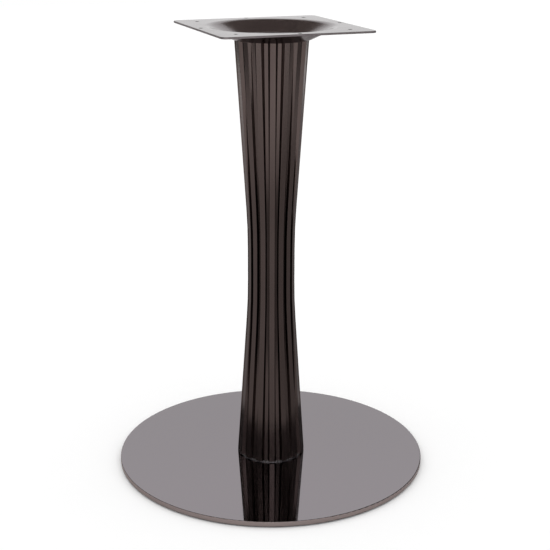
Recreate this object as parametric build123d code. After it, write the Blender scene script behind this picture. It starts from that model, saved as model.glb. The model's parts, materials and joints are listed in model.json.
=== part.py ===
from build123d import *
from math import cos, pi, radians, sqrt, tan
import os

# Pedestal base for a small table: a heavy round steel plate, a waisted and fluted sheet-metal
# column, and a square pressed plate that is screwed to the underside of the table top.
# A threaded tie rod inside the column clamps the three together.
# All lengths are millimetres. +Z is up, the sides of the top plate run along X and Y,
# and the origin lies on the floor under the middle of the base.

# Overall sizes
TOTAL_HEIGHT = 710.0
BASE_DIAMETER = 500.0
BASE_THICKNESS = 8.0
BASE_EDGE_RADIUS = 1.0

# Foot pads glued under the base plate
PAD_COUNT = 6
PAD_DIAMETER = 30.0
PAD_THICKNESS = 2.0
PAD_INSET = 10.0

# Column: one pleated sheet, with a flat ridge and a flat valley floor in each pleat
PLEAT_COUNT = 16
PLEAT_TURN = 3.5
SHEET_THICKNESS = 1.2
FOOT_RADIUS = 55.0
WAIST_RADIUS = 37.15
TOP_RADIUS = 56.8
RIDGE_WIDTH = 8.5
END_FLOOR_WIDTH = 6.0
WAIST_FLOOR_WIDTH = 4.0
END_PLEAT_DEPTH = 4.8
WAIST_PLEAT_DEPTH = 5.4

# Heights at which the lower and the upper cone run out into the waist, and how soft that bend is
LOWER_BEND_HEIGHT = 277.0
UPPER_BEND_HEIGHT = 393.0
BEND_SOFTNESS = 22.0
BEND_REACH = 32.0

# Column seat: turned flange and spigot that centre the foot of the column. The flange shows in the
# valleys and stays a little inside the ridges.
SEAT_FLANGE_THICKNESS = 2.0
SEAT_FLANGE_INSET = 2.4
SPIGOT_HEIGHT = 12.0
SPIGOT_CHAMFER = 1.5
BOSS_DIAMETER = 30.0
BOSS_HEIGHT = 26.0

# Countersunk socket screws that hold the seat from beneath
SCREW_COUNT = 4
SCREW_CIRCLE_RADIUS = 34.0
SCREW_TURN = 45.0
SCREW_DIAMETER = 8.0
SCREW_HEAD_DIAMETER = 16.0
SCREW_LENGTH = 20.0
SOCKET_WIDTH = 5.0
SOCKET_DEPTH = 2.5

# Top plate: a square pressing with a dish that comes down to the column
PLATE_SIDE = 240.0
PLATE_THICKNESS = 3.0
PLATE_CORNER_RADIUS = 10.0
PLATE_EDGE_RADIUS = 0.6
DISH_RIM_RADIUS = 97.0
DISH_RIM_BEND = 30.0
DISH_BORDER = 10.0
DISH_DEPTH = 17.0
DISH_FOOT_BEND = 8.0
WELL_DEPTH = 16.0
WELL_BEND = 2.0
SHOULDER_BEND = 0.5
SHOULDER_WIDTH = 3.0

# Fixing holes for the table top: four near the corners and four in the middle of the sides
FIXING_HOLE_DIAMETER = 6.5
CORNER_HOLE_SPACING = 178.0
SIDE_HOLE_CIRCLE_DIAMETER = 224.0

# Tie rod with its washer, spring washer and nut in the dish of the top plate
ROD_DIAMETER = 12.0
ROD_CHAMFER = 1.0
ROD_STICK_OUT = 3.0
WASHER_DIAMETER = 24.0
WASHER_THICKNESS = 2.5
SPRING_WASHER_DIAMETER = 20.5
SPRING_WASHER_THICKNESS = 2.5
SPRING_WASHER_GAP = 1.6
SPRING_WASHER_LEAN = 20.0
NUT_WIDTH = 18.0
NUT_HEIGHT = 10.8
NUT_FACE_INSET = 0.5
NUT_CHAMFER_ANGLE = 30.0

# Fits
SLIDING_CLEARANCE = 0.3
THREAD_CLEARANCE = 0.1
ROD_HOLE_CLEARANCE = 0.75

# Levels that follow from the sizes above
BASE_BOTTOM = PAD_THICKNESS
BASE_TOP = BASE_BOTTOM + BASE_THICKNESS
COLUMN_FOOT = BASE_TOP + SEAT_FLANGE_THICKNESS
DISH_FLOOR = TOTAL_HEIGHT - DISH_DEPTH
COLUMN_TOP = DISH_FLOOR - PLATE_THICKNESS
WELL_FLOOR = DISH_FLOOR - WELL_DEPTH
WASHER_TOP = WELL_FLOOR + WASHER_THICKNESS
SPRING_WASHER_TOP = WASHER_TOP + SPRING_WASHER_THICKNESS
NUT_TOP = SPRING_WASHER_TOP + NUT_HEIGHT
ROD_TOP = NUT_TOP + ROD_STICK_OUT

# The dish is turned together with a narrow flat border, which joins the square plate
DISH_BLANK_RADIUS = DISH_RIM_RADIUS + DISH_BORDER

HEXAGON = 6
STANDING = (Align.CENTER, Align.CENTER, Align.MIN)
PITCH = 360.0 / PLEAT_COUNT


def ring(outer_radius, inner_radius, bottom, thickness):
    """Flat ring standing on a level."""
    return Pos(Z=bottom) * extrude(Circle(outer_radius) - Circle(inner_radius), thickness)


def run_out(distance):
    """Distance past a bend, rounded off softly so that it fades to nothing before the bend."""
    return (sqrt(distance**2 + BEND_SOFTNESS**2) + distance) / 2


def ridge_radius(height):
    """Radius over the ridges: two straight cones that run out softly into a slim waist."""
    lower_slope = (FOOT_RADIUS - WAIST_RADIUS) / (LOWER_BEND_HEIGHT - COLUMN_FOOT)
    upper_slope = (TOP_RADIUS - WAIST_RADIUS) / (COLUMN_TOP - UPPER_BEND_HEIGHT)
    lower_flare = lower_slope * run_out(LOWER_BEND_HEIGHT - height)
    upper_flare = upper_slope * run_out(height - UPPER_BEND_HEIGHT)
    return WAIST_RADIUS + lower_flare + upper_flare


def between_waist_and_end(height, at_waist, at_end):
    """Value that changes from the waist to either end as the column's radius does."""
    middle = (LOWER_BEND_HEIGHT + UPPER_BEND_HEIGHT) / 2
    end_radius = FOOT_RADIUS if height < middle else TOP_RADIUS
    share = (ridge_radius(height) - WAIST_RADIUS) / (end_radius - WAIST_RADIUS)
    return at_waist + share * (at_end - at_waist)


def valley_apothem(height):
    """Distance from the axis to the outer face of a valley floor."""
    ridge_apothem = sqrt(ridge_radius(height) ** 2 - (RIDGE_WIDTH / 2) ** 2)
    return ridge_apothem - between_waist_and_end(height, WAIST_PLEAT_DEPTH, END_PLEAT_DEPTH)


def bore_radius(height):
    """Radius of the largest round bar that passes through the column at a height."""
    return valley_apothem(height) - SHEET_THICKNESS


def set_back(corner, first_normal, second_normal, depth):
    """Corner of a bent sheet moved inward, so that both faces beside it lie the depth deeper."""
    return corner - (first_normal + second_normal) * (depth / (1 + first_normal.dot(second_normal)))


def pleated_section(height, depth):
    """Cross-section of the column at a height, the depth inside its outer face."""
    ridge_normal = Vector(1, 0)
    floor_normal = ridge_normal.rotate(Axis.Z, PITCH / 2)
    along_floor = floor_normal.rotate(Axis.Z, -90)
    floor_width = between_waist_and_end(height, WAIST_FLOOR_WIDTH, END_FLOOR_WIDTH)
    ridge_apothem = sqrt(ridge_radius(height) ** 2 - (RIDGE_WIDTH / 2) ** 2)
    ridge_corner = Vector(ridge_apothem, RIDGE_WIDTH / 2)
    floor_corner = floor_normal * valley_apothem(height) + along_floor * (floor_width / 2)
    wall_normal = (floor_corner - ridge_corner).normalized().rotate(Axis.Z, -90)
    ridge_corner = set_back(ridge_corner, ridge_normal, wall_normal, depth)
    floor_corner = set_back(floor_corner, wall_normal, floor_normal, depth)
    corners = []
    for number in range(PLEAT_COUNT):
        turn = PLEAT_TURN + number * PITCH
        for corner in (ridge_corner, floor_corner):
            corners.append(corner.rotate(Axis.Z, turn))
        for corner in (floor_corner, ridge_corner):
            mirrored = Vector(corner.X, -corner.Y)
            corners.append(mirrored.rotate(Axis.Z, turn + PITCH))
    return Pos(Z=height) * make_face(Polyline(corners, close=True))


def make_column():
    """Pleated sheet tube: the skin between two lofts through the same heights."""
    heights = [COLUMN_FOOT]
    for bend in (LOWER_BEND_HEIGHT, UPPER_BEND_HEIGHT):
        heights += [bend - BEND_REACH, bend, bend + BEND_REACH]
    heights.append(COLUMN_TOP)
    outside = loft([pleated_section(height, 0) for height in heights], ruled=True)
    inside = loft([pleated_section(height, SHEET_THICKNESS) for height in heights], ruled=True)
    return outside - inside


def screw_form(clearance):
    """Countersunk screw seen as a turned blank, or with a clearance the hole that takes it."""
    head_radius = SCREW_HEAD_DIAMETER / 2 + clearance
    shank_radius = SCREW_DIAMETER / 2 + clearance
    cone_height = head_radius - shank_radius
    head = Cone(head_radius, shank_radius, cone_height, align=STANDING)
    return Pos(Z=BASE_BOTTOM) * (head + Cylinder(shank_radius, SCREW_LENGTH + clearance, align=STANDING))


def at_screws(form):
    """Copies of a form at the places of the seat screws."""
    return PolarLocations(SCREW_CIRCLE_RADIUS, SCREW_COUNT, start_angle=SCREW_TURN) * form


def make_seat_screws():
    """Countersunk socket screws, each a solid of its own."""
    socket_blank = RegularPolygon(SOCKET_WIDTH / 2, HEXAGON, major_radius=False)
    socket = Pos(Z=BASE_BOTTOM) * extrude(socket_blank, SOCKET_DEPTH)
    return Compound(at_screws(screw_form(0) - socket))


def make_base_disc():
    """Round base plate with soft edges and countersunk holes for the seat screws."""
    disc = Pos(Z=BASE_BOTTOM) * Cylinder(BASE_DIAMETER / 2, BASE_THICKNESS, align=STANDING)
    disc = fillet(disc.edges(), BASE_EDGE_RADIUS)
    return disc - at_screws(screw_form(THREAD_CLEARANCE))


def make_foot_pads():
    """Thin round pads on a circle near the rim of the base plate."""
    pad = Cylinder(PAD_DIAMETER / 2, PAD_THICKNESS, align=STANDING)
    circle_radius = (BASE_DIAMETER - PAD_DIAMETER) / 2 - PAD_INSET
    return PolarLocations(circle_radius, PAD_COUNT) * pad


def make_column_seat():
    """Turned seat: a thin flange under the column, a spigot inside it and a tapped boss."""
    flange_radius = ridge_radius(COLUMN_FOOT) - SEAT_FLANGE_INSET
    spigot_radius = bore_radius(COLUMN_FOOT + SPIGOT_HEIGHT) - SLIDING_CLEARANCE
    flange = Cylinder(flange_radius, SEAT_FLANGE_THICKNESS, align=STANDING)
    spigot = Cylinder(spigot_radius, SEAT_FLANGE_THICKNESS + SPIGOT_HEIGHT, align=STANDING)
    spigot = chamfer(spigot.edges().sort_by(Axis.Z)[-1], SPIGOT_CHAMFER)
    boss = Cylinder(BOSS_DIAMETER / 2, SEAT_FLANGE_THICKNESS + BOSS_HEIGHT, align=STANDING)
    tapping = Cylinder(
        ROD_DIAMETER / 2 + THREAD_CLEARANCE, SEAT_FLANGE_THICKNESS + BOSS_HEIGHT, align=STANDING
    )
    seat = Pos(Z=BASE_TOP) * (flange + spigot + boss - tapping)
    return seat - at_screws(screw_form(THREAD_CLEARANCE))


def make_dish():
    """Dish of the top plate: its upper face thickened into a sheet and revolved."""
    bore_at_shoulder = bore_radius(COLUMN_TOP) - SHOULDER_BEND
    bore_at_well = bore_radius(WELL_FLOOR - PLATE_THICKNESS)
    well_radius = min(bore_at_shoulder, bore_at_well) - SLIDING_CLEARANCE - PLATE_THICKNESS
    upper_face = FilletPolyline(
        (ROD_DIAMETER / 2 + ROD_HOLE_CLEARANCE, WELL_FLOOR),
        (well_radius, WELL_FLOOR),
        (well_radius, DISH_FLOOR),
        (ridge_radius(COLUMN_TOP) + SHOULDER_WIDTH, DISH_FLOOR),
        (DISH_RIM_RADIUS, TOTAL_HEIGHT),
        (DISH_BLANK_RADIUS, TOTAL_HEIGHT),
        radius=(WELL_BEND, SHOULDER_BEND + PLATE_THICKNESS, DISH_FOOT_BEND, DISH_RIM_BEND),
    )
    sheet = make_face(offset(upper_face, PLATE_THICKNESS, side=Side.RIGHT))
    return revolve(Plane.XZ * sheet, Axis.Z)


def make_top_plate():
    """Square plate with rounded corners, its dish and the eight fixing holes."""
    square = RectangleRounded(PLATE_SIDE, PLATE_SIDE, PLATE_CORNER_RADIUS)
    plate = Pos(Z=TOTAL_HEIGHT - PLATE_THICKNESS) * extrude(square, PLATE_THICKNESS)
    plate = fillet(plate.edges().filter_by(Axis.Z, reverse=True), PLATE_EDGE_RADIUS)
    plate -= Pos(Z=COLUMN_TOP) * Cylinder(DISH_BLANK_RADIUS, TOTAL_HEIGHT, align=STANDING)
    plate += make_dish()
    hole = Pos(Z=COLUMN_TOP) * Cylinder(FIXING_HOLE_DIAMETER / 2, TOTAL_HEIGHT, align=STANDING)
    plate -= GridLocations(CORNER_HOLE_SPACING, CORNER_HOLE_SPACING, 2, 2) * hole
    return plate - PolarLocations(SIDE_HOLE_CIRCLE_DIAMETER / 2, 4) * hole


def make_tie_rod():
    """Threaded rod from the base plate to above the nut, drawn at its outer diameter."""
    rod = Pos(Z=BASE_TOP) * Cylinder(ROD_DIAMETER / 2, ROD_TOP - BASE_TOP, align=STANDING)
    return chamfer(rod.edges().filter_by(GeomType.CIRCLE), ROD_CHAMFER)


def make_washer():
    """Plain washer on the floor of the well."""
    inner_radius = ROD_DIAMETER / 2 + THREAD_CLEARANCE
    return ring(WASHER_DIAMETER / 2, inner_radius, WELL_FLOOR, WASHER_THICKNESS)


def make_spring_washer():
    """Spring washer, closed flat under the nut, with its slanting split."""
    inner_radius = ROD_DIAMETER / 2 + THREAD_CLEARANCE
    washer = ring(SPRING_WASHER_DIAMETER / 2, inner_radius, WASHER_TOP, SPRING_WASHER_THICKNESS)
    split = Box(SPRING_WASHER_DIAMETER, SPRING_WASHER_GAP, 3 * SPRING_WASHER_THICKNESS)
    place = Pos(SPRING_WASHER_DIAMETER / 2, 0, WASHER_TOP + SPRING_WASHER_THICKNESS / 2)
    return washer - place * Rot(X=SPRING_WASHER_LEAN) * split


def make_nut():
    """Hexagon nut: a prism trimmed by a turned blank that breaks its corners."""
    prism = Pos(Z=SPRING_WASHER_TOP) * extrude(
        RegularPolygon(NUT_WIDTH / 2, HEXAGON, major_radius=False), NUT_HEIGHT
    )
    face_radius = NUT_WIDTH / 2 - NUT_FACE_INSET
    corner_radius = NUT_WIDTH / 2 / cos(pi / HEXAGON)
    drop = (corner_radius - face_radius) * tan(radians(NUT_CHAMFER_ANGLE))
    blank = make_face(
        Polyline(
            (0, SPRING_WASHER_TOP),
            (face_radius, SPRING_WASHER_TOP),
            (corner_radius, SPRING_WASHER_TOP + drop),
            (corner_radius, NUT_TOP - drop),
            (face_radius, NUT_TOP),
            (0, NUT_TOP),
            close=True,
        )
    )
    bore = Pos(Z=SPRING_WASHER_TOP) * Cylinder(
        ROD_DIAMETER / 2 + THREAD_CLEARANCE, NUT_HEIGHT, align=STANDING
    )
    return (prism & revolve(Plane.XZ * blank, Axis.Z)) - bore


def main():
    """Build every piece and write one file for each."""
    pieces = {
        "base_disc": make_base_disc(),
        "column_seat": make_column_seat(),
        "seat_screws": make_seat_screws(),
        "column": make_column(),
        "top_plate": make_top_plate(),
        "tie_rod": make_tie_rod(),
        "washer": make_washer(),
        "spring_washer": make_spring_washer(),
        "nut": make_nut(),
    }
    for number, pad in enumerate(make_foot_pads(), start=1):
        pieces[f"foot_pad_{number}"] = pad
    os.makedirs("parts", exist_ok=True)
    for name, piece in pieces.items():
        export_step(piece, f"parts/{name}.step")


main()
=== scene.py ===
import json
from math import cos, hypot, pi, radians, sin

import bpy
from bpy.props import FloatProperty, FloatVectorProperty, IntProperty, PointerProperty
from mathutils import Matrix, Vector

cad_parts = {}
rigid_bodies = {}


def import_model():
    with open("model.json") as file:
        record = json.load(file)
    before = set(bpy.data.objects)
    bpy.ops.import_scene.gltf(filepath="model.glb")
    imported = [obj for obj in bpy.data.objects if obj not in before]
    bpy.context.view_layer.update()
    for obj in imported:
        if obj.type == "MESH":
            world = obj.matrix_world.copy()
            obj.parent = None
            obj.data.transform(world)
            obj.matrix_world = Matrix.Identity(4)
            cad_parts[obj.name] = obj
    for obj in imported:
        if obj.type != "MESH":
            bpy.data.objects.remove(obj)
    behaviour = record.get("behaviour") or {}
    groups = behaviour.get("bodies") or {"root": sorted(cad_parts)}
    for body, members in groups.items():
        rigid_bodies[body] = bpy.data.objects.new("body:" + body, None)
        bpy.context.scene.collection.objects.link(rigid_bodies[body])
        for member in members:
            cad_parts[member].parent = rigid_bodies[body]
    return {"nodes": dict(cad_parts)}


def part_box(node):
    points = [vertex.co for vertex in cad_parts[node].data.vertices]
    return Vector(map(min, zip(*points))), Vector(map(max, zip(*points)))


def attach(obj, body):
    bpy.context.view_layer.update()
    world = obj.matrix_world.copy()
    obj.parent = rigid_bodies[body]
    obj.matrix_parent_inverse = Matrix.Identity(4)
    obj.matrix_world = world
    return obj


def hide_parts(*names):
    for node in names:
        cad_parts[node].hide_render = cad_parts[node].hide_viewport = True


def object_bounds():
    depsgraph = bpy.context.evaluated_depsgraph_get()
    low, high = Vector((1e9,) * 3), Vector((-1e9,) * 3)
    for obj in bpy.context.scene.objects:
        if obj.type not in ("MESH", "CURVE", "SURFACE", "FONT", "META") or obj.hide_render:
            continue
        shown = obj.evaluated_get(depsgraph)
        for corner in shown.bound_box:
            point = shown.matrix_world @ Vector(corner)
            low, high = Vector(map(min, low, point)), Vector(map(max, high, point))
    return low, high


# Pedestal base of a small table: polished round foot plate, fluted column and pressed top plate.
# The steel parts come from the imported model. This script gives them their folds, threads and
# finishes, and sets up the floor, the light and the camera. All lengths are in metres.

bl_info = {
    "name": "Fluted Table Base",
    "version": (1, 0, 0),
    "blender": (4, 5, 0),
    "location": "3D View > Sidebar > Table Base",
    "description": "Dresses a pedestal table base with a fluted column and sets its picture up",
    "category": "Object",
}

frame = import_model()
NODES = frame["nodes"]
CAD_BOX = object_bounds()

MM = 0.001
WHOLE_BODY = "root"

# Angles that tell a fold from a curve, and a flat face from a curved one
FOLD_ANGLE = radians(20)
SMOOTH_ANGLE = radians(35)
FLAT_ANGLE = radians(0.3)

MERGE_DISTANCE = 0.002 * MM
LEVEL_TOLERANCE = 0.01 * MM
FOLD_SEGMENTS = 3

# A face whose normal rises less than this is an edge or the wall of a hole
STEEP_FACE = 0.5

# How far the turned rim and the cut edge reach in from the outlines of the two plates, and the
# radius inside which the steep faces of the top plate belong to its dish
TURNED_RIM = 0.6 * MM
CUT_EDGE = 4.0 * MM
DISH_REACH = 90.0 * MM

# Depth of a thread as a share of its pitch
THREAD_DEPTH = 0.6

# Values between which most of a noise lies
NOISE_LOW = 0.3
NOISE_HIGH = 0.7

# Places of the colour sockets of a mix node
FIRST_COLOUR = 6
SECOND_COLOUR = 7
MIXED_COLOUR = 2

# The metal mirrors mats on the floor and flags round and above the table base. A fade has two numbers:
# the share of the reach within which a mat or flag is whole, and how much its breadth counts in that
# reach. Each round mat has its name, its fade, its radius and its height above the floor.
WHOLE = None
MAT_SIDES = 64
ROUND_MATS = (
    ("far_mat", (0.6, 1.0), 3.2, 1 * MM),
    ("near_mat", WHOLE, 1.45, 2 * MM),
)

# How a card lies or stands: its lean, and its turn from facing the camera
LEVEL = (0.0, 0.0)
FACING = (radians(90), 0.0)
SIDEWAYS = (radians(90), radians(90))

# Each card has its name, the setting of its colour, its fade, its size and the place of its middle: to
# the right of the column as the camera sees it, from the column towards the camera, and above the floor
CARDS = (
    ("front_mat", "front_mat", WHOLE, (2.8, 2.3), (0.0, 2.6, 3 * MM), LEVEL),
    ("right_mat", "right_mat", WHOLE, (1.7, 3.7), (1.1, -0.65, 3 * MM), LEVEL),
    ("front_flag", "front_flag", WHOLE, (5.0, 1.9), (0.0, 3.6, 0.95), FACING),
    ("high_left_front_flag", "high_flag", WHOLE, (2.27, 1.1), (-1.365, 3.6, 2.45), FACING),
    ("high_right_front_flag", "high_flag", WHOLE, (1.73, 1.1), (1.635, 3.6, 2.45), FACING),
    ("left_flag", "side_flag", WHOLE, (7.4, 1.9), (-2.5, -0.1, 0.95), SIDEWAYS),
    ("high_left_flag", "high_flag", WHOLE, (7.4, 0.7), (-2.5, -0.1, 2.25), SIDEWAYS),
    ("right_flag", "side_flag", WHOLE, (7.4, 1.9), (2.5, -0.1, 0.95), SIDEWAYS),
    ("high_right_flag", "high_flag", WHOLE, (7.4, 0.7), (2.5, -0.1, 2.25), SIDEWAYS),
    ("top_flag", "top_flag", (0.6, 0.1), (5.0, 7.6), (0.0, -0.3, 2.6), LEVEL),
    ("back_flag", "top_flag", (0.5, 1.0), (3.4, 2.0), (-1.3, -1.5, 1.85), FACING),
)

# The light is a little weaker up to the first height above the horizon, and full from the second
WEAK_LIGHT_UP_TO = radians(22)
FULL_LIGHT_FROM = radians(30)
WEAK_LIGHT = 0.94
FULL_LIGHT = 1.1

# Width in millimetres of the picture frame that the focal length belongs to
FRAME_WIDTH = 36.0


def linear(hex_colour):
    """Colour of a hex value such as #8C8684 in linear light, with full alpha."""
    channels = [int(hex_colour[start : start + 2], 16) / 255 for start in (1, 3, 5)]
    return [c / 12.92 if c <= 0.04045 else ((c + 0.055) / 1.055) ** 2.4 for c in channels] + [1.0]


def length_setting(name, description, default):
    """Property for a length that a user may change."""
    return FloatProperty(
        name=name, description=description, default=default, min=0.0, unit="LENGTH", precision=5
    )


def angle_setting(name, description, default):
    """Property for an angle that a user may change."""
    return FloatProperty(name=name, description=description, default=default, subtype="ANGLE")


def colour_setting(name, description, hex_colour):
    """Property for a colour that a user may change."""
    colour = linear(hex_colour)
    return FloatVectorProperty(
        name=name, description=description, default=colour, size=4, min=0.0, max=1.0, subtype="COLOR"
    )


class TableBaseColumnSettings(bpy.types.PropertyGroup):
    """Folds and coat of the fluted column"""

    fold: length_setting("Fold", "How far the rounding of a fold reaches into its flats", 0.6 * MM)
    coat: colour_setting("Coat", "Colour of the satin dark coat", "#675C59")
    # The valley coat is painted shade: the coat is darkened where the deep folds at the waist shade each
    # other
    painted_valley_shade: colour_setting("Valley Coat", "Colour of the coat deep in the valleys at the waist", "#443C3A")
    pleats: IntProperty(name="Pleats", description="Number of ridges round the column", default=16, min=3)
    ridge_turn: angle_setting("Ridge Turn", "Where the first ridge stands", radians(3.5))
    waist_height: length_setting("Waist Height", "Height of the slimmest part above the floor", 0.325)


class TableBasePlateSettings(bpy.types.PropertyGroup):
    """Coats of the foot plate and the top plate"""

    polished: colour_setting("Polished Coat", "Colour of the mirror-like face of the foot plate", "#857F83")
    turned: colour_setting("Turned Edge", "Colour of the turned rim of the foot plate", "#C6B9B6")
    pressed: colour_setting("Pressed Coat", "Colour of the top plate", "#6B6264")
    sheared: colour_setting("Sheared Edge", "Colour of the cut edge round the top plate", "#A49C9E")
    # The punched hole colour is painted shade: darker than the coat because little light gets into the holes
    punched: colour_setting("Punched Hole", "Colour of the walls of the fixing holes", "#2C2829")


class TableBaseFittingSettings(bpy.types.PropertyGroup):
    """Column seat, screws, nut, rod and pads"""

    thread_pitch: length_setting("Thread Pitch", "Distance between the threads of the tie rod", 1.75 * MM)
    thread_length: length_setting("Thread Length", "Threaded length at the top of the tie rod", 21.0 * MM)
    rod_sides: IntProperty(
        name="Rod Sides", description="Sides of the round tie rod", default=48, min=12, max=128
    )
    zinc: colour_setting("Zinc", "Colour of the plated fittings", "#B9BBBC")
    rubber: colour_setting("Rubber", "Colour of the foot pads", "#1B1B1C")


class TableBaseStageSettings(bpy.types.PropertyGroup):
    """Camera, floor, mats and flags"""

    camera_distance: length_setting("Camera Distance", "Level distance from the column", 1.870)
    camera_height: length_setting("Camera Height", "Height of the camera above the floor", 0.9130)
    camera_azimuth: angle_setting("Camera Azimuth", "Turn of the camera round the column", radians(-21.18))
    camera_heading: angle_setting("Camera Heading", "How far right of the column it looks", 0.0033)
    camera_tilt: angle_setting("Camera Tilt", "How far below level the camera looks", 0.3093)
    camera_roll: angle_setting("Camera Roll", "Turn of the camera about its line of sight", 0.003)
    focal_length: FloatProperty(
        name="Focal Length", description="In millimetres, on a frame 36 mm wide", default=80.12
    )
    floor_size: length_setting("Floor Size", "Side of the square floor", 16.0)
    floor_colour: colour_setting("Floor", "Colour of the pale floor", "#FDFDFD")
    near_mat: colour_setting("Near Mat", "Colour of the floor mat round the foot plate", "#A8A4A4")
    far_mat: colour_setting("Far Mat", "Colour of the wide floor mat under it", "#BCB8B8")
    front_mat: colour_setting("Front Mat", "Colour of the floor mat under the camera", "#E4E0E0")
    right_mat: colour_setting("Right Mat", "Colour of the floor mat at the right", "#8E8A8A")
    front_flag: colour_setting("Front Flag", "Colour of the low flag behind the camera", "#B4B0B0")
    side_flag: colour_setting("Side Flags", "Colour of the low flags at both sides", "#6E6C6C")
    high_flag: colour_setting("High Flags", "Colour of the flags above the low ones", "#3A3838")
    top_flag: colour_setting("Top Flag", "Colour of the flags overhead and behind the column", "#807772")


class TableBaseSettings(bpy.types.PropertyGroup):
    """All settings of the table base"""

    column: PointerProperty(type=TableBaseColumnSettings)
    plates: PointerProperty(type=TableBasePlateSettings)
    fittings: PointerProperty(type=TableBaseFittingSettings)
    stage: PointerProperty(type=TableBaseStageSettings)


# Materials


def add_node(tree, kind, settings=None, links=None, **attributes):
    """Add a node, fill in its sockets and attributes, and link inputs to other nodes' outputs."""
    node = tree.nodes.new(kind)
    for name, value in attributes.items():
        setattr(node, name, value)
    for socket, value in (settings or {}).items():
        node.inputs[socket].default_value = value
    for socket, source in (links or {}).items():
        tree.links.new(source, node.inputs[socket])
    return node


def new_material(name):
    """Empty material and its node tree."""
    material = bpy.data.materials.new(name)
    material.use_nodes = True
    material.node_tree.nodes.clear()
    return material, material.node_tree


def grain(tree, size):
    """Noise whose blobs have the size along X, Y and Z, in metres, anchored to the object."""
    place = add_node(tree, "ShaderNodeTexCoord").outputs["Object"]
    scale = [1 / length for length in size]
    scaled = add_node(tree, "ShaderNodeMapping", {"Scale": scale}, {"Vector": place}).outputs["Vector"]
    noise = add_node(tree, "ShaderNodeTexNoise", {"Scale": 1.0, "Detail": 2.0}, {"Vector": scaled})
    return noise.outputs["Fac"]


def between(tree, factor, low, high):
    """Value that follows a noise from low to high."""
    spread = {"From Min": NOISE_LOW, "From Max": NOISE_HIGH, "To Min": low, "To Max": high}
    return add_node(tree, "ShaderNodeMapRange", spread, {"Value": factor}).outputs["Result"]


def faded(tree, value, start, end):
    """Factor that goes softly from 0 to 1 while a value goes from the start to the end."""
    span = {"From Min": start, "From Max": end}
    node = add_node(tree, "ShaderNodeMapRange", span, {"Value": value}, interpolation_type="SMOOTHSTEP")
    return node.outputs["Result"]


def mixed_colour(tree, factor, first, second):
    """Colour that changes from the first to the second as a factor goes from 0 to 1."""
    colours = {FIRST_COLOUR: first, SECOND_COLOUR: second}
    node = add_node(tree, "ShaderNodeMix", colours, {"Factor": factor}, data_type="RGBA")
    return node.outputs[MIXED_COLOUR]


def calculated(tree, operation, first, second):
    """Result of a calculation with the first value, an output, and the second, an output or a number."""
    node = add_node(tree, "ShaderNodeMath", links={0: first}, operation=operation)
    if isinstance(second, bpy.types.NodeSocket):
        tree.links.new(second, node.inputs[1])
    else:
        node.inputs[1].default_value = second
    return node.outputs["Value"]


def worked_surface(name, surface, roughness, smudge, relief, strength, depth):
    """Surface whose gloss changes with the smudges and whose light breaks on a fine relief."""
    material, tree = new_material(name)
    gloss = between(tree, grain(tree, smudge), *roughness)
    height = grain(tree, relief)
    bump = add_node(tree, "ShaderNodeBump", {"Strength": strength, "Distance": depth}, {"Height": height})
    varied = {"Roughness": gloss, "Normal": bump.outputs["Normal"]}
    shader = add_node(tree, "ShaderNodeBsdfPrincipled", surface, varied)
    add_node(tree, "ShaderNodeOutputMaterial", links={"Surface": shader.outputs["BSDF"]})
    return material


def steel(name, coat, roughness, smudge, relief, depth):
    """Coated steel, made once for all the pieces that have it."""
    if name in bpy.data.materials:
        return bpy.data.materials[name]
    surface = {"Base Color": coat, "Metallic": 1.0}
    return worked_surface(name, surface, roughness, smudge, relief, strength=0.25, depth=depth)


def polished_coated_steel(coat):
    """Mirror-polished stainless steel under a dark vapour-deposited coat: it mirrors the column sharply,
    with only the faintest cloudiness from wiping."""
    return steel(
        "polished_coated_stainless_steel",
        coat,
        roughness=(0.03, 0.05),
        smudge=(60 * MM, 60 * MM, 60 * MM),
        relief=(40 * MM, 6 * MM, 40 * MM),
        depth=0.001 * MM,
    )


def turned_coated_steel(coat):
    """Rim of the foot plate: the fine rings that the lathe left under the coat make it satin."""
    return steel(
        "turned_coated_stainless_steel",
        coat,
        roughness=(0.3, 0.4),
        smudge=(20 * MM, 20 * MM, 20 * MM),
        relief=(30 * MM, 30 * MM, 0.4 * MM),
        depth=0.01 * MM,
    )


def satin_coated_steel(settings):
    """Stainless sheet brushed along the column and coated dark: soft, long highlights down each flat.
    The real lines are about 0.1 mm apart and are drawn coarser so that they show. Deep in the valleys at the
    waist the coat is painted darker: painted shade for the shade that the deep, narrow folds cast on each
    other."""
    material = steel(
        "satin_coated_stainless_steel",
        settings.coat,
        roughness=(0.16, 0.22),
        smudge=(30 * MM, 30 * MM, 90 * MM),
        relief=(0.5 * MM, 0.5 * MM, 40 * MM),
        depth=0.002 * MM,
    )
    tree = material.node_tree
    half_pitch = pi / settings.pleats
    # Turns from the middle of a ridge, and distances from the waist, between which the coat changes to the
    # painted valley shade
    valley_start = 0.52 * half_pitch
    valley_full = 0.6 * half_pitch
    waist_full = 80 * MM
    waist_end = 180 * MM
    place = add_node(tree, "ShaderNodeTexCoord").outputs["Object"]
    spot = add_node(tree, "ShaderNodeSeparateXYZ", links={"Vector": place}).outputs
    bearing = calculated(tree, "ARCTAN2", spot["Y"], spot["X"])
    angle = calculated(tree, "SUBTRACT", bearing, settings.ridge_turn)
    from_ridge = calculated(tree, "PINGPONG", angle, half_pitch)
    in_valley = faded(tree, from_ridge, valley_start, valley_full)
    from_waist = calculated(tree, "SUBTRACT", spot["Z"], settings.waist_height)
    beyond_waist = faded(tree, calculated(tree, "POWER", from_waist, 2.0), waist_full**2, waist_end**2)
    at_waist = calculated(tree, "MULTIPLY", calculated(tree, "SUBTRACT", beyond_waist, 1.0), -1.0)
    # deep is the share of painted shade: the coat darkens towards the valleys at the waist
    deep = calculated(tree, "MULTIPLY", in_valley, at_waist)
    shader = next(node for node in tree.nodes if node.type == "BSDF_PRINCIPLED")
    tree.links.new(mixed_colour(tree, deep, settings.coat, settings.painted_valley_shade), shader.inputs["Base Color"])
    return material


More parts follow.
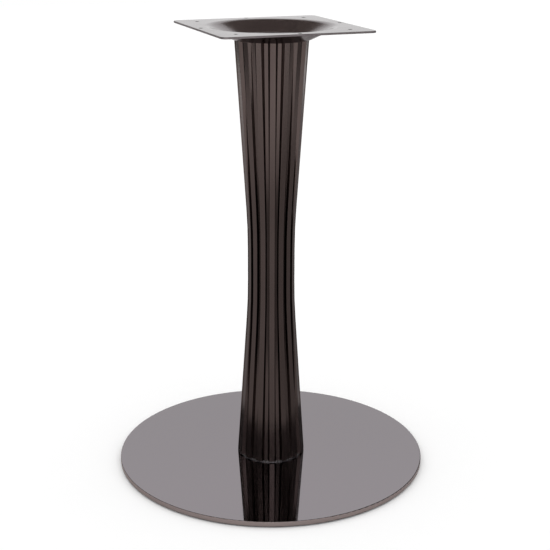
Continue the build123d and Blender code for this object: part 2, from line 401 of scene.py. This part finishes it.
def pressed_coated_steel(coat):
    """Cold-rolled sheet with the same coat: smooth, with a slight unevenness from the press."""
    return steel(
        "pressed_coated_steel",
        coat,
        roughness=(0.10, 0.15),
        smudge=(25 * MM, 25 * MM, 25 * MM),
        relief=(14 * MM, 14 * MM, 14 * MM),
        depth=0.01 * MM,
    )


def sheared_coated_steel(coat):
    """Cut edge of the sheet: torn by the shears, so it is duller than the face and lighter."""
    return steel(
        "sheared_coated_steel",
        coat,
        roughness=(0.30, 0.42),
        smudge=(8 * MM, 8 * MM, 8 * MM),
        relief=(0.8 * MM, 0.8 * MM, 3 * MM),
        depth=0.02 * MM,
    )


def hole_wall_shade_steel(coat):
    """Wall of a punched hole: dull, with its coat painted dark as painted shade, because hardly any light
    gets into it.
    """
    return steel(
        "hole_wall_shade_steel",
        coat,
        roughness=(0.45, 0.6),
        smudge=(4 * MM, 4 * MM, 4 * MM),
        relief=(0.6 * MM, 0.6 * MM, 2 * MM),
        depth=0.02 * MM,
    )


def zinc_plated_steel(coat):
    """Bright zinc on turned and small steel fittings: half-gloss with a fine grey crystal."""
    return steel(
        "bright_zinc_plated_steel",
        coat,
        roughness=(0.2, 0.32),
        smudge=(3 * MM, 3 * MM, 3 * MM),
        relief=(0.4 * MM, 0.4 * MM, 0.4 * MM),
        depth=0.003 * MM,
    )


def moulded_rubber(colour):
    """Moulded rubber: black and dull, with a fine even grain."""
    return worked_surface(
        "moulded_rubber",
        {"Base Color": colour, "IOR": 1.52},
        roughness=(0.7, 0.85),
        smudge=(5 * MM, 5 * MM, 5 * MM),
        relief=(0.6 * MM, 0.6 * MM, 0.6 * MM),
        strength=0.4,
        depth=0.03 * MM,
    )


def plain_matt(name, colour):
    """Dull even surface of the floor, a mat or a flag."""
    material, tree = new_material(name)
    shader = add_node(tree, "ShaderNodeBsdfDiffuse", {"Color": colour})
    add_node(tree, "ShaderNodeOutputMaterial", links={"Surface": shader.outputs["BSDF"]})
    return material


def faded_matt(name, colour, core, breadth):
    """Dull surface that is whole in its core and thins out to nothing towards its rim, or with a small
    breadth towards its two ends only."""
    middle = 0.5
    material, tree = new_material(name)
    place = add_node(tree, "ShaderNodeTexCoord").outputs["UV"]
    shift = {"Location": (-breadth * middle, -middle, 0), "Scale": (breadth, 1, 1)}
    centred = add_node(tree, "ShaderNodeMapping", shift, {"Vector": place}).outputs["Vector"]
    reach = add_node(tree, "ShaderNodeVectorMath", links={0: centred}, operation="LENGTH").outputs["Value"]
    cloth = add_node(tree, "ShaderNodeBsdfDiffuse", {"Color": colour}).outputs["BSDF"]
    clear = add_node(tree, "ShaderNodeBsdfTransparent").outputs["BSDF"]
    fade = faded(tree, reach, core * middle, middle)
    shader = add_node(tree, "ShaderNodeMixShader", links={0: fade, 1: cloth, 2: clear})
    add_node(tree, "ShaderNodeOutputMaterial", links={"Surface": shader.outputs["Shader"]})
    return material


# Modelling helpers


def deselect_all():
    """Leave no object selected."""
    for other in bpy.context.scene.objects:
        other.select_set(False)


def work_on(piece):
    """Make a piece the only selected and the active object."""
    deselect_all()
    piece.select_set(True)
    bpy.context.view_layer.objects.active = piece


def select_edges(piece, wanted):
    """Select the sharp edges of a piece whose two corners satisfy a test, and enter edit mode."""
    bpy.ops.object.mode_set(mode="EDIT")
    bpy.ops.mesh.select_mode(type="EDGE")
    bpy.ops.mesh.select_all(action="DESELECT")
    bpy.ops.mesh.edges_select_sharp(sharpness=FOLD_ANGLE)
    bpy.ops.object.mode_set(mode="OBJECT")
    corners = piece.data.vertices
    for edge in piece.data.edges:
        first, second = (corners[number].co for number in edge.vertices)
        edge.select = edge.select and wanted(first, second)
    bpy.ops.object.mode_set(mode="EDIT")


def merged_copy(node, name):
    """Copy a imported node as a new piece, with its loose triangles merged and its flat faces made whole."""
    piece = bpy.data.objects.new(name, NODES[node].data.copy())
    bpy.context.scene.collection.objects.link(piece)
    work_on(piece)
    bpy.ops.mesh.customdata_custom_splitnormals_clear()
    bpy.ops.object.mode_set(mode="EDIT")
    bpy.ops.mesh.select_all(action="SELECT")
    bpy.ops.mesh.remove_doubles(threshold=MERGE_DISTANCE)
    bpy.ops.mesh.dissolve_limited(angle_limit=FLAT_ANGLE)
    bpy.ops.object.mode_set(mode="OBJECT")
    return piece


def round_edges(piece, wanted, reach, segments):
    """Round the sharp edges of a piece that satisfy a test."""
    select_edges(piece, wanted)
    bpy.ops.mesh.bevel(offset=reach, segments=segments, profile=0.5, affect="EDGES", clamp_overlap=True)
    bpy.ops.object.mode_set(mode="OBJECT")


def smooth(piece):
    """Shade curves and roundings smoothly while the flats stay flat."""
    work_on(piece)
    bpy.ops.object.shade_smooth_by_angle(angle=SMOOTH_ANGLE)
    bpy.ops.object.modifier_add(type="WEIGHTED_NORMAL")
    piece.modifiers[-1].keep_sharp = True
    bpy.ops.object.modifier_apply(modifier=piece.modifiers[-1].name)


def dress(piece, *materials):
    """Give a piece its materials, in the order of its slots."""
    piece.data.materials.clear()
    for material in materials:
        piece.data.materials.append(material)


def hand_over(piece, node):
    """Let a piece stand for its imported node."""
    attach(piece, WHOLE_BODY)
    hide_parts(node)


def along_column(first, second):
    """Whether the edge between two corners runs up the column."""
    return abs(first.z - second.z) >= LEVEL_TOLERANCE


# Operators


class TABLEBASE_OT_column(bpy.types.Operator):
    """Round the folds of the pleated column and give it its satin coat"""

    bl_idname = "table_base.column"
    bl_label = "Fluted Column"

    def execute(self, context):
        settings = context.scene.table_base.column
        column = merged_copy("column", "fluted_column")
        round_edges(column, along_column, settings.fold, FOLD_SEGMENTS)
        smooth(column)
        dress(column, satin_coated_steel(settings))
        hand_over(column, "column")
        return {"FINISHED"}


class TABLEBASE_OT_seat(bpy.types.Operator):
    """Smooth and plate the turned seat, whose flange shows in the valleys at the foot of the column"""

    bl_idname = "table_base.seat"
    bl_label = "Column Seat"

    def execute(self, context):
        seat = merged_copy("column_seat", "turned_column_seat")
        smooth(seat)
        dress(seat, zinc_plated_steel(context.scene.table_base.fittings.zinc))
        hand_over(seat, "column_seat")
        return {"FINISHED"}


class TABLEBASE_OT_foot_plate(bpy.types.Operator):
    """Polish the round foot plate and give its rim a turned finish"""

    bl_idname = "table_base.foot_plate"
    bl_label = "Foot Plate"

    def execute(self, context):
        settings = context.scene.table_base.plates
        plate = merged_copy("base_disc", "round_foot_plate")
        smooth(plate)
        dress(plate, polished_coated_steel(settings.polished), turned_coated_steel(settings.turned))
        rim_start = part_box("base_disc")[1].x - TURNED_RIM
        for face in plate.data.polygons:
            at_rim = hypot(face.center.x, face.center.y) > rim_start
            face.material_index = 1 if at_rim and abs(face.normal.z) < STEEP_FACE else 0
        hand_over(plate, "base_disc")
        return {"FINISHED"}


class TABLEBASE_OT_top_plate(bpy.types.Operator):
    """Smooth and coat the pressed top plate, with duller cut edges and hole walls painted dark as painted
    shade
    """

    bl_idname = "table_base.top_plate"
    bl_label = "Top Plate"

    def execute(self, context):
        settings = context.scene.table_base.plates
        plate = merged_copy("top_plate", "pressed_top_plate")
        smooth(plate)
        dress(
            plate,
            pressed_coated_steel(settings.pressed),
            sheared_coated_steel(settings.sheared),
            hole_wall_shade_steel(settings.punched),
        )
        edge_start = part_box("top_plate")[1].x - CUT_EDGE
        for face in plate.data.polygons:
            x, y = face.center.x, face.center.y
            if abs(face.normal.z) < STEEP_FACE and hypot(x, y) > DISH_REACH:
                # The hole walls get the painted shade of the punched hole colour
                face.material_index = 1 if max(abs(x), abs(y)) > edge_start else 2
        hand_over(plate, "top_plate")
        return {"FINISHED"}


class TABLEBASE_OT_tie_rod(bpy.types.Operator):
    """Model the tie rod with the thread that shows above its nut"""

    bl_idname = "table_base.tie_rod"
    bl_label = "Tie Rod"

    def execute(self, context):
        settings = context.scene.table_base.fittings
        low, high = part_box("tie_rod")
        radius = high.x
        pitch = settings.thread_pitch
        depth = THREAD_DEPTH * pitch
        core = radius - depth
        turns = round(settings.thread_length / pitch)
        shank = high.z - low.z - depth - (turns + 1) * pitch
        deselect_all()
        bpy.ops.mesh.primitive_circle_add(
            vertices=settings.rod_sides, radius=core, fill_type="NGON", location=(0, 0, low.z)
        )
        rod = context.object
        rod.name = "threaded_tie_rod"
        bpy.ops.object.transform_apply(location=True, rotation=True, scale=True)
        bpy.ops.object.mode_set(mode="EDIT")
        bpy.ops.mesh.select_all(action="SELECT")
        self.step(depth, core, radius)
        self.step(shank, radius, radius)
        for _ in range(turns):
            self.step(pitch / 2, radius, core)
            self.step(pitch / 2, core, radius)
        self.step(pitch / 2, radius, radius)
        self.step(pitch / 2, radius, core)
        bpy.ops.mesh.select_all(action="SELECT")
        bpy.ops.mesh.normals_make_consistent(inside=False)
        bpy.ops.object.mode_set(mode="OBJECT")
        smooth(rod)
        dress(rod, zinc_plated_steel(settings.zinc))
        hand_over(rod, "tie_rod")
        return {"FINISHED"}

    def step(self, rise, from_radius, to_radius):
        """Extrude the open end upwards and change its radius."""
        bpy.ops.mesh.extrude_region_move(TRANSFORM_OT_translate={"value": (0, 0, rise)})
        share = to_radius / from_radius
        bpy.ops.transform.resize(value=(share, share, 1))


class TABLEBASE_OT_fittings(bpy.types.Operator):
    """Plate the nut, washers and screws, and give the pads their rubber"""

    bl_idname = "table_base.fittings"
    bl_label = "Fittings and Pads"

    def execute(self, context):
        settings = context.scene.table_base.fittings
        zinc = zinc_plated_steel(settings.zinc)
        rubber = moulded_rubber(settings.rubber)
        for name in ("nut", "washer", "spring_washer", "seat_screws"):
            dress(NODES[name], zinc)
        for name in NODES:
            if name.startswith("foot_pad"):
                dress(NODES[name], rubber)
        return {"FINISHED"}


class TABLEBASE_OT_stage(bpy.types.Operator):
    """Lay the floor, light the scene and place the camera"""

    bl_idname = "table_base.stage"
    bl_label = "Stage"

    def execute(self, context):
        settings = context.scene.table_base.stage
        self.lay_floor(settings)
        self.surround(settings)
        self.light(context.scene)
        self.place_camera(context, settings)
        return {"FINISHED"}

    def lay_floor(self, settings):
        """Pale floor under the pads."""
        bpy.ops.mesh.primitive_plane_add(size=settings.floor_size, location=(0, 0, CAD_BOX[0].z))
        floor = bpy.context.object
        floor.name = "floor"
        dress(floor, plain_matt("pale_floor", settings.floor_colour))

    def show_to_metal(self, card, name, colour, fade):
        """Give a mat or a flag its colour, and let nothing but the metal's reflections see it."""
        card.name = name
        dress(card, faded_matt(name, colour, *fade) if fade else plain_matt(name, colour))
        card.visible_camera = False
        card.visible_diffuse = False
        card.visible_shadow = False

    def surround(self, settings):
        """Lay the mats and set the flags up. Mirrored in the metal, they give the column its dark folds
        and the dish its dark hollow. The gap between the high flags behind the camera is the light
        stripe in the column's mirror image."""
        for name, fade, radius, height in ROUND_MATS:
            bpy.ops.mesh.primitive_circle_add(
                vertices=MAT_SIDES, radius=radius, fill_type="NGON", location=(0, 0, height)
            )
            self.show_to_metal(bpy.context.object, name, getattr(settings, name), fade)
        azimuth = settings.camera_azimuth
        for name, colour, fade, size, (right, near, height), (lean, turn) in CARDS:
            bpy.ops.mesh.primitive_plane_add(
                size=1.0,
                location=(
                    right * cos(azimuth) + near * sin(azimuth),
                    right * sin(azimuth) - near * cos(azimuth),
                    height,
                ),
                rotation=(lean, 0, azimuth + turn),
            )
            card = bpy.context.object
            card.scale = (*size, 1)
            bpy.ops.object.transform_apply(location=True, rotation=True, scale=True)
            self.show_to_metal(card, name, getattr(settings, colour), fade)

    def light(self, scene):
        """Even white light from all round, a little less of it from near the horizon. What the camera
        sees of it is the white background."""
        world = bpy.data.worlds.new("soft_white_studio")
        world.use_nodes = True
        tree = world.node_tree
        tree.nodes.clear()
        direction = add_node(tree, "ShaderNodeTexCoord").outputs["Generated"]
        rise = add_node(tree, "ShaderNodeSeparateXYZ", links={"Vector": direction}).outputs["Z"]
        above = faded(tree, rise, sin(WEAK_LIGHT_UP_TO), sin(FULL_LIGHT_FROM))
        span = {"To Min": WEAK_LIGHT, "To Max": FULL_LIGHT}
        glow = add_node(tree, "ShaderNodeMapRange", span, {"Value": above}).outputs["Result"]
        seen = add_node(tree, "ShaderNodeLightPath").outputs["Is Camera Ray"]
        strength = add_node(tree, "ShaderNodeMix", {"B": 1.0}, {"Factor": seen, "A": glow})
        white = {"Color": linear("#FFFFFF")}
        background = add_node(tree, "ShaderNodeBackground", white, {"Strength": strength.outputs["Result"]})
        add_node(tree, "ShaderNodeOutputWorld", links={"Surface": background.outputs["Background"]})
        scene.world = world
        scene.view_settings.view_transform = "Standard"

    def place_camera(self, context, settings):
        """Camera at the photograph's angle."""
        turn = settings.camera_azimuth
        bpy.ops.object.camera_add(
            location=(
                settings.camera_distance * sin(turn),
                -settings.camera_distance * cos(turn),
                settings.camera_height,
            ),
            rotation=(radians(90) - settings.camera_tilt, 0, turn - settings.camera_heading),
        )
        camera = context.object
        camera.name = "picture_camera"
        camera.rotation_euler.rotate_axis("Z", settings.camera_roll)
        camera.data.lens = settings.focal_length
        camera.data.sensor_width = FRAME_WIDTH
        camera.data.dof.use_dof = False
        context.scene.camera = camera


OPERATORS = (
    TABLEBASE_OT_column,
    TABLEBASE_OT_seat,
    TABLEBASE_OT_foot_plate,
    TABLEBASE_OT_top_plate,
    TABLEBASE_OT_fittings,
    TABLEBASE_OT_tie_rod,
    TABLEBASE_OT_stage,
)


class TABLEBASE_PT_panel(bpy.types.Panel):
    """Sidebar panel with the sizes, the colours and one button for each piece"""

    bl_idname = "TABLEBASE_PT_panel"
    bl_label = "Table Base"
    bl_space_type = "VIEW_3D"
    bl_region_type = "UI"
    bl_category = "Table Base"

    def draw(self, context):
        settings = context.scene.table_base
        for group in (settings.column, settings.plates, settings.fittings, settings.stage):
            box = self.layout.box()
            for name in group.bl_rna.properties.keys():
                if name not in ("rna_type", "name"):
                    box.prop(group, name)
        for operator in OPERATORS:
            self.layout.operator(operator.bl_idname)


CLASSES = (
    TableBaseColumnSettings,
    TableBasePlateSettings,
    TableBaseFittingSettings,
    TableBaseStageSettings,
    TableBaseSettings,
    *OPERATORS,
    TABLEBASE_PT_panel,
)


def register():
    """Register the classes and the scene's settings."""
    for item in CLASSES:
        bpy.utils.register_class(item)
    bpy.types.Scene.table_base = PointerProperty(type=TableBaseSettings)


def unregister():
    """Take the settings and the classes out again."""
    del bpy.types.Scene.table_base
    for item in reversed(CLASSES):
        bpy.utils.unregister_class(item)


def main():
    """Build every piece and the stage."""
    register()
    bpy.ops.table_base.column()
    bpy.ops.table_base.seat()
    bpy.ops.table_base.foot_plate()
    bpy.ops.table_base.top_plate()
    bpy.ops.table_base.fittings()
    bpy.ops.table_base.tie_rod()
    bpy.ops.table_base.stage()


if __name__ == "__main__":
    main()
